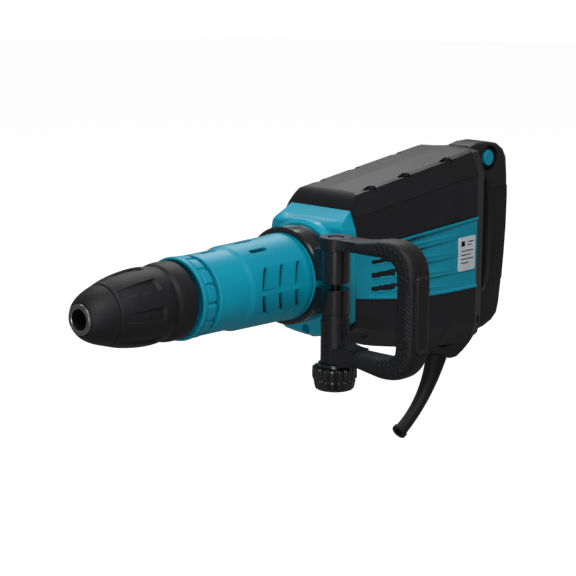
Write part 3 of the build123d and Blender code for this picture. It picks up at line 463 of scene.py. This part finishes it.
cover = {
    "profile": [(131.2, 34.6), (131.8, 35.3), (132.8, 35.6), (166.6, 35.9), (168, 36.3), (171, 37.8),
                (172.4, 38.2),
                (238.6, 39.3), (239.4, 39.7), (240.2, 39.9), (244.2, 39.9), (245.4, 39.5), (246, 38.6),
                (246, 30), (243, 30), (243, 36), (173, 35.2), (168.5, 33), (134.2, 32.7), (134.2, 30),
                (131.2, 30)],
    "steps": 240,
    "ventColumns": (182.4, 203.5, 224.5), "ventHalfWidth": 2.5, "ventAngles": ((3, 32.5), (-34, -4)),
    "ventLean": 8, "ventSteps": 16,
    "topVents": ((184, 206, 61), (184, 206, 90), (184, 206, 119), (142, 161, 90)),
    "topVentHalfWidth": 2.2, "rim": 0.45,
}


def ventCutter(x, low, high, side):
    # a slot spun round the cover, then narrowed at both ends and leaned back away from the cover's middle
    bm = bmesh.new()
    half, start = cover["ventHalfWidth"], math.radians(low)
    across = (0, -side * math.cos(start), math.sin(start))
    corners = ((x - half, 32), (x + half, 32), (x + half, 44), (x - half, 44))
    verts, edges = profileRing(bm, corners, across, (1, 0, 0), (0, 0, 0))
    face = bm.faces.new(verts)
    bmesh.ops.spin(bm, geom=verts + edges + [face], cent=(0, 0, 0), axis=(-side, 0, 0),
                   angle=math.radians(high - low), steps=cover["ventSteps"])
    for vert in bm.verts:
        angle = math.degrees(math.atan2(vert.co.z, -side * vert.co.y))
        step = round((angle - low) / (high - low) * cover["ventSteps"])
        fromEnd = min(step, cover["ventSteps"] - step)
        narrow = 0.62 if fromEnd == 0 else 0.9 if fromEnd == 1 else 1
        vert.co.x = (x + (vert.co.x / mm - x) * narrow + cover["ventLean"] * (angle / 33) ** 2) * mm
    bmesh.ops.recalc_face_normals(bm, faces=bm.faces[:])
    return cutterFrom(bm)


def makeCover():
    piece = placePiece(spun(cover["profile"], cover["steps"]), "barrelCover", tealPlastic, "housing",
                       ("barrel_cover",))
    cutters = []
    for x in cover["ventColumns"]:
        for side in (1, -1):
            cutters += [ventCutter(x, low, high, side) for low, high in cover["ventAngles"]]
    for x0, x1, angle in cover["topVents"]:
        half = cover["topVentHalfWidth"]
        bm = prism(slotOutline(x0 + half, x1 - half, 0, half, half), 30, 46, "z")
        turn = Matrix.Rotation(math.radians(90 - angle), 3, "X")
        bmesh.ops.rotate(bm, verts=bm.verts[:], cent=(0, 0, 0), matrix=turn)
        cutters.append(cutterFrom(bm))
    cutWith(piece, cutters)
    piece.data.set_sharp_from_angle(angle=math.radians(32))
    return roundEdges(piece, cover["rim"], 2, 40)


makeCover()
print("barrel cover made")

# cast and moulded pieces that keep the part's own shape: node, name, material, body, slot, edge radius in mm
shells = (
    ("clamp_band", "clampBand", glossBlack, "side_clamp", "black_gloss", 1.6),
    ("clamp_bolt", "clampBolt", blackSteel, "side_clamp", "steel", 0.5),
    ("handle_pivot_pin", "handlePivotPin", blackSteel, "housing", "steel", 0.4),
    ("gear_housing", "gearHousing", tealEnamel, "housing", "teal_paint", 2.2),
    ("motor_housing", "motorHousing", nylonBlack, "housing", "black_plastic", 0.8),
    ("rear_cover", "rearCover", nylonBlack, "housing", "black_plastic", 2.0),
    ("cord_clamp", "cordOutlet", nylonBlack, "housing", "black_plastic", 4.0),
    ("cord_guard", "cordGuard", elastomer, "housing", "black_rubber", 0.8),
    ("handle_bellows", "handleBellows", elastomer, "housing", "black_rubber", 0.8),
    ("indicator_lenses", "indicatorLenses", lampGreen, "housing", "lens", 0.5),
    ("rear_handle", "rearHandle", nylonBlack, "handle", "black_plastic", 0.8),
    ("rear_handle_grip", "rearHandleGrip", elastomer, "handle", "black_rubber", 0.6),
    ("switch_lever", "switchLever", tealPlastic, "switch", "teal_plastic", 1.2),
    ("speed_dial", "speedDial", nylonGrey, "dial", "black_plastic", 0.5),
    ("gear_housing_screws", "gearHousingScrews", blackSteel, "housing", "black_steel", 0.3),
    ("top_cover_screws", "topCoverScrews", blackSteel, "housing", "black_steel", 0.4),
    ("bottom_cover_screws", "bottomCoverScrews", blackSteel, "housing", "black_steel", 0.3),
)
for node, name, material, body, slotName, radius in shells:
    roundEdges(placePiece(cadCopy(node), name, material, body, (node,)), radius)
print("shells made")

topCover = {"screws": ((336, 31), (387, 31), (451, 31)), "edge": 2.4,
            "pocket": {"length": 11, "deep": 3.4, "ends": (1.2, 4.4)}}


def coverTop(x):
    return 70 + 24 * (x - 301) / 187


def makeTopCover():
    piece = placePiece(cadCopy("top_cover"), "topCover", nylonGrey, "housing",
                       ("top_cover",))
    pocket = topCover["pocket"]
    cutters = []
    for x, y in topCover["screws"]:
        for side in (1, -1):
            outline = slotOutline(x - pocket["length"], x, side * y, *pocket["ends"])
            cutters.append(cutterFrom(prism(outline, coverTop(x) - pocket["deep"], coverTop(x) + 12, "z")))
    cutWith(piece, cutters)
    piece.data.set_sharp_from_angle(angle=math.radians(25))
    return roundEdges(piece, topCover["edge"], 3, 22)


makeTopCover()

bottomCover = {"recess": {"x": (316, 324), "y": 37, "z": (-84, -62.5), "r": 3.4}, "edge": 2.0,
               "noseCuts": (306, 312, 318, 324, 331), "noseRise": 4.5}


def makeBottomCover():
    bm = cadCopy("bottom_cover")
    for x in bottomCover["noseCuts"]:
        geom = bm.verts[:] + bm.edges[:] + bm.faces[:]
        bmesh.ops.bisect_plane(bm, geom=geom, plane_co=(x * mm, 0, 0), plane_no=(1, 0, 0), dist=0.001 * mm)
    for vert in bm.verts:
        x, z = vert.co.x / mm, vert.co.z / mm
        if x < bottomCover["noseCuts"][-1] and z < -48:
            rise = bottomCover["noseRise"] * (1 - smoothStep(301, bottomCover["noseCuts"][-1], x))
            vert.co.z += rise * smoothStep(-48, -62, z) * mm
    piece = placePiece(bm, "bottomCover", nylonBlack, "housing", ("bottom_cover",))
    recess = bottomCover["recess"]
    cutters = []
    for side in (1, -1):
        outline = slotOutline(*recess["x"], side * recess["y"], recess["r"], recess["r"])
        cutters.append(cutterFrom(prism(outline, *recess["z"], "z")))
    cutWith(piece, cutters)
    piece.data.set_sharp_from_angle(angle=math.radians(25))
    return roundEdges(piece, bottomCover["edge"], 3, 22)


makeBottomCover()
print("covers made")

panel = {
    "x": (301, 488), "columns": 200, "rows": 116, "outer": 44.2, "thick": 1.7, "rim": 2.8, "field": 1.5,
    "groove": (319.6, 321.2), "louvreStart": 325, "openTo": 361.5, "fadeTo": 470, "deep": 4.6, "power": 0.8,
    # each valley between two louvres: its upper and lower edge at x = 326 and at x = 450
    "valleys": ((20.5, 15.6, 25.0, 15.8), (9.4, 5.0, 12.6, -1.4), (-2.4, -8.5, -4.4, -18.3),
                (-15.4, -20.9, -21.0, -34.0)),
}


def panelTop(x):
    return 21 + 9.5 * (x - 301) / 187


def panelBottom(x):
    part = (x - 301) / 187
    return -23 - 17 * part - 4.5 * math.sin(math.pi * part)


def valleyShare(x, z):
    # how far down a valley a point lies, from its sharp upper edge at 0 to the next louvre at 1
    part = (x - 326) / 124
    for index, (high0, low0, high1, low1) in enumerate(panel["valleys"]):
        high, low = high0 + (high1 - high0) * part, low0 + (low1 - low0) * part
        if low <= z <= high:
            return index, (high - z) / (high - low)
    return None, 0


def panelDepth(x, z):
    above, below = panelTop(x) - z, z - panelBottom(x)
    low, high = panel["groove"]
    inField = smoothStep(panel["rim"] - 0.7, panel["rim"] + 0.5, min(above, below)) * smoothStep(low, high, x)
    depth = panel["field"] * inField
    depth += 1.1 * smoothStep(low - 0.7, low, x) * (1 - smoothStep(high - 0.5, high + 0.2, x))
    index, share = valleyShare(x, z)
    if index is not None and x > panel["louvreStart"] - 1:
        fall = smoothStep(0, 0.1, share) * (1 - share) ** panel["power"]
        fall -= 0.28 * (1 - smoothStep(0, 0.1, share))
        fall -= 0.28 * smoothStep(0.72, 1, share)
        fade = smoothStep(panel["louvreStart"] - 0.7, panel["louvreStart"] + 0.3, x)
        fade *= (1 - smoothStep(panel["openTo"], panel["fadeTo"], x)) ** 0.7 * inField
        depth += (panel["deep"] - panel["field"]) * fall * fade
    return depth


def makePanel(name, side, replaced):
    bm = bmesh.new()
    bmesh.ops.create_grid(bm, x_segments=panel["columns"], y_segments=panel["rows"], size=0.5)
    for vert in bm.verts:
        x = panel["x"][0] + (panel["x"][1] - panel["x"][0]) * (vert.co.x + 0.5)
        low, high = panelBottom(x) + 0.2, panelTop(x)
        z = low + (high - low) * (vert.co.y + 0.5)
        vert.co = Vector((x, -side * (panel["outer"] - panelDepth(x, z)), z)) * mm
    openings = []
    for face in bm.faces:
        middle = face.calc_center_median() / mm
        index, share = valleyShare(middle.x, middle.z)
        if index and panel["louvreStart"] + 0.8 < middle.x < panel["openTo"] and 0.1 < share < 0.8:
            openings.append(face)
    bmesh.ops.delete(bm, geom=openings, context="FACES")
    bmesh.ops.recalc_face_normals(bm, faces=bm.faces[:])
    if sum(f.normal.y for f in bm.faces) * side > 0:
        bmesh.ops.reverse_faces(bm, faces=bm.faces[:])
    piece = placePiece(bm, name, tealPlastic, "housing", (replaced,), 50)
    wall = piece.modifiers.new("wall", "SOLIDIFY")
    wall.thickness = panel["thick"] * mm
    wall.offset = -1
    return piece


makePanel("sidePanelNear", 1, "side_panel_near")
makePanel("sidePanelFar", -1, "side_panel_far")


def roundedBox(x, z, radius, count=6):
    points = []
    for cx, cz, turn in ((x[1] - radius, z[1] - radius, 0), (x[0] + radius, z[1] - radius, 1),
                         (x[0] + radius, z[0] + radius, 2), (x[1] - radius, z[0] + radius, 3)):
        for step in range(count + 1):
            angle = math.pi / 2 * (turn + step / count)
            points.append((cx + radius * math.cos(angle), cz + radius * math.sin(angle)))
    return points


label = {"x": (457.5, 484), "z": (-20.7, 13), "face": 43.9, "radius": 1.6,
         "bars": ((461, 466.5, 4, 9), (471, 480.5, 7.4, 8.4), (471, 477.5, 4.4, 5.4),
                  (461, 480.5, -1.2, -0.2),
                  (461, 477, -5.2, -4.2), (461, 480.5, -9.2, -8.2), (461, 473, -13.2, -12.2))}
roundEdges(placePiece(prism(roundedBox(label["x"], label["z"], label["radius"]), -label["face"], -42.2),
                      "labelPlate", printedPlate, "housing", ("label_plate",)), 0.3, 2)
bm = bmesh.new()
for x0, x1, z0, z1 in label["bars"]:
    base = bm.faces.new([bm.verts.new(Vector((a, -label["face"] - 0.04, b)) * mm)
                         for a, b in roundedBox((x0, x1), (z0, z1), 0.5)])
    bmesh.ops.extrude_face_region(bm, geom=[base])
placePiece(bm, "labelBars", plateInk, "housing")
print("side panels and plate made")

# the grip's path in the (y, z) plane with the half thickness and half width there, in mm
grip = {
    "x": 255, "power": 3.3, "along": 0.75, "around": 128,
    "path": [(-88.3, 38.2, 5.6, 12.8), (-96, 38.5, 6.2, 13.2), (-108, 39.4, 7.2, 13.6),
             (-121, 40.3, 8.2, 13.9),
             (-134.5, 37.4, 9.9, 14), (-143.2, 28.6, 10.7, 14), (-145.8, 14, 10.9, 14),
             (-145.8, -12, 10.9, 14),
             (-145.8, -40, 10.9, 14), (-143.4, -54.2, 10.7, 14), (-135.2, -62.8, 10.4, 14),
             (-122, -65.6, 9.7, 13.8), (-108, -64.9, 8.6, 13.5), (-96, -63.9, 7.6, 13.1),
             (-88.3, -63.4, 7.2, 12.8)],
    "dimple": {"radius": 1.3, "depth": 1.3, "spacing": 6.2},
    "grooves": {"z": (-34, 8), "pitch": 3.6, "slant": 0.9, "depth": 1.0, "half": 6.5},
    "panel": {"x": 10.2, "z": (-49, 23), "radius": 7, "groove": 1.1, "deep": 1.0},
}


def oblongDistance(u, v, half, low, high, radius):
    # distance of (u, v) outside a rounded oblong; negative inside
    du = abs(u) - (half - radius)
    dv = max(low + radius - v, v - high + radius)
    outside = math.hypot(max(du, 0), max(dv, 0))
    return outside + min(max(du, dv), 0) - radius


def gripDent(x, y, z, face):
    # how deep the skin is pressed in at a point; face is where round the section it lies
    dent = 0.0
    edge = grip["panel"]
    if face > 0.5 and -52 < z < 26 and y < -149:
        away = abs(oblongDistance(x - grip["x"], z, edge["x"], *edge["z"], edge["radius"]))
        dent = edge["deep"] * (1 - smoothStep(0.3, edge["groove"], away))
    front = grip["x"] - x
    cut = grip["grooves"]
    if front > 9.5 and cut["z"][0] < z < cut["z"][1] and abs(y + 146) < cut["half"]:
        wave = ((z - cut["slant"] * (y + 145)) / cut["pitch"]) % 1
        dent += cut["depth"] * (1 - smoothStep(0.1, 0.26, min(wave, 1 - wave)))
    return dent


def gripDimples(rows):
    # staggered rows of small dimples on the front of both corners
    spots = []
    spacing = grip["dimple"]["spacing"]
    for row, across in enumerate((-5.4, -1.8, 1.8, 5.4)):
        distance = spacing * 0.5 * (row % 2)
        travelled = 0.0
        for a, b in zip(rows, rows[1:]):
            travelled += math.dist(a[:2], b[:2])
            if travelled < distance:
                continue
            distance += spacing
            y, z = b[0], b[1]
            if (z > 12 or z < -38) and y < -112:
                spots.append((b, across))
    return spots


def gripSpot(rows, index, turn):
    # a point of the skin: its place along the path and how far round the section it lies
    y, z, thick, wide = rows[index]
    before, after = rows[max(index - 1, 0)], rows[min(index + 1, len(rows) - 1)]
    along = Vector((0, after[0] - before[0], after[1] - before[1])).normalized()
    outward = Vector((0, along.z, -along.y))
    if outward.y > 0 and abs(y) > 140 or outward.dot(Vector((0, y + 105, z + 12))) < 0:
        outward = -outward
    c, s = math.cos(turn), math.sin(turn)
    cx = math.copysign(abs(c) ** (2 / grip["power"]), c)
    sx = math.copysign(abs(s) ** (2 / grip["power"]), s)
    middle = Vector((grip["x"], y, z))
    spot = middle + Vector((cx * wide, 0, 0)) + outward * (sx * thick)
    return spot + (middle - spot).normalized() * gripDent(*spot, sx)


def makeGripSkin():
    rows = smoothChain(grip["path"], grip["along"])
    bm = bmesh.new()
    bmesh.ops.create_grid(bm, x_segments=len(rows) - 1, y_segments=grip["around"], size=0.5)
    for vert in bm.verts:
        index = round((vert.co.x + 0.5) * (len(rows) - 1))
        step = round((vert.co.y + 0.5) * grip["around"]) % grip["around"]
        vert.co = gripSpot(rows, index, tau * step / grip["around"]) * mm
    bmesh.ops.remove_doubles(bm, verts=bm.verts[:], dist=0.0005 * mm)
    caps = bmesh.ops.holes_fill(bm, edges=[e for e in bm.edges if e.is_boundary])["faces"]
    bmesh.ops.inset_individual(bm, faces=caps, thickness=0.8 * mm)
    dimple = grip["dimple"]
    front = [v for v in bm.verts if v.co.x <= (grip["x"] - 8) * mm]
    for centre, across in gripDimples(rows):
        middle = Vector((0, centre[0], centre[1]))
        middle += Vector((0, centre[0] + 105, centre[1] + 12)).normalized() * across * 0.9
        for vert in front:
            away = math.hypot(vert.co.y / mm - middle.y, vert.co.z / mm - middle.z)
            if away < dimple["radius"]:
                vert.co.x += dimple["depth"] * (1 - (away / dimple["radius"]) ** 2) * mm
    bmesh.ops.recalc_face_normals(bm, faces=bm.faces[:])
    return placePiece(bm, "sideGripOvermould", elastomer, "side_grip",
                      ("side_grip_overmould",), 60)


makeGripSkin()

inset = {"x": 8.8, "z": (-47.6, 21.6), "face": 156.9, "back": 152.5, "radius": 6.4, "recess": 2.6,
         "deep": 0.9}


def makeInset():
    bm = bmesh.new()
    outline = roundedBox((grip["x"] - inset["x"], grip["x"] + inset["x"]), inset["z"], inset["radius"], 10)
    base = bm.faces.new([bm.verts.new(Vector((a, -inset["back"], b)) * mm) for a, b in outline])
    grown = bmesh.ops.extrude_face_region(bm, geom=[base])
    top = [g for g in grown["geom"] if isinstance(g, bmesh.types.BMFace)]
    moved = [g for g in grown["geom"] if isinstance(g, bmesh.types.BMVert)]
    bmesh.ops.translate(bm, verts=moved, vec=(0, (inset["back"] - inset["face"]) * mm, 0))
    bmesh.ops.inset_region(bm, faces=top, thickness=inset["recess"] * mm, use_even_offset=True)
    bmesh.ops.inset_region(bm, faces=top, thickness=0.9 * mm, depth=-inset["deep"] * mm, use_even_offset=True)
    bmesh.ops.recalc_face_normals(bm, faces=bm.faces[:])
    return roundEdges(placePiece(bm, "sideGripInset", glossBlack, "side_grip"), 0.5, 3)


makeInset()

frameArm = {"fillet": 12, "half": 11.5, "x": 255}


def makeGripFrame():
    bm = cadCopy("side_grip_frame")
    # the web that fills the inner corner between the tube and the lower arm
    centre, radius = (-84.5, -43.6), frameArm["fillet"]
    arc = [(centre[0] + radius * math.cos(math.radians(a)), centre[1] + radius * math.sin(math.radians(a)))
           for a in range(0, -91, -9)]
    rows = []
    for index, (y, z) in enumerate(arc):
        half = 2.5 + (frameArm["half"] - 3.4) * smoothStep(0, 1, index / (len(arc) - 1))
        corners = [(s * half, y, z) for s in (-1, 1)]
        corners += [(s * min(half + 2.2, 11), -62, z - 4) for s in (1, -1)]
        rows.append([bm.verts.new(Vector((frameArm["x"] + dx, cy, cz)) * mm) for dx, cy, cz in corners])
    for a, b in zip(rows, rows[1:]):
        for k in range(4):
            bm.faces.new((a[k], a[(k + 1) % 4], b[(k + 1) % 4], b[k]))
    bm.faces.new(rows[0])
    bm.faces.new(reversed(rows[-1]))
    bmesh.ops.recalc_face_normals(bm, faces=bm.faces[:])
    piece = placePiece(bm, "sideGripFrame", nylonBlack, "side_grip", ("side_grip_frame",))
    return roundEdges(piece, 1.5, 3, 40)


makeGripFrame()

knob = {
    "outer": [(-71.3, 14), (-71.8, 15), (-74, 15.2), (-74.6, 17), (-75.4, 19.2), (-76.4, 20.2), (-84.6, 20.4),
              (-85.4, 19.9), (-86, 18.6), (-86.8, 18.6), (-87.6, 19.2), (-94, 17.9), (-95.4, 17.0),
              (-96, 15.6)],
    "inner": [(-96, 0.2), (-90, 0.2), (-90, 4.1), (-71.3, 4.1)],
    "place": (255, -58), "steps": 320, "grooves": 16, "depth": 2.0,
}


def makeKnob():
    origin = Vector((*knob["place"], 0)) * mm
    bm = spun(smoothChain(knob["outer"], 0.7) + knob["inner"], knob["steps"], axis=(0, 0, 1), origin=origin,
              across=(1, 0, 0))
    for vert in bm.verts:
        flat = Vector((vert.co.x - origin.x, vert.co.y - origin.y)) / mm
        z, r = vert.co.z / mm, flat.length
        if r < 16.2 or z > -74.8:
            continue
        angle = math.atan2(flat.y, flat.x)
        wave = (0.5 + 0.5 * math.cos(knob["grooves"] * angle)) ** 3
        depth = knob["depth"] * wave * smoothStep(16.2, 18.4, r)
        vert.co.x = origin.x + flat.x * (1 - depth / r) * mm
        vert.co.y = origin.y + flat.y * (1 - depth / r) * mm
    return placePiece(bm, "clampKnob", glossBlack, "knob", ("clamp_knob",), 45)


makeKnob()
print("side handle made")

finishes = {
    "black_plastic": nylonBlack, "black_gloss": glossBlack, "black_rubber": elastomer,
    "teal_plastic": tealPlastic,
    "teal_paint": tealEnamel, "steel": groundSteel, "black_steel": blackSteel, "aluminium": castAluminium,
    "copper": copper, "core_steel": blackSteel, "carbon": blackSteel, "label": printedPlate,
    "lens": lampGreen,
}
for part in frame["record"]["subparts"]:
    node = frame["nodes"][part["node"]]
    node.data.materials.clear()
    node.data.materials.append(finishes[part["material_slot"]])

print("finished")
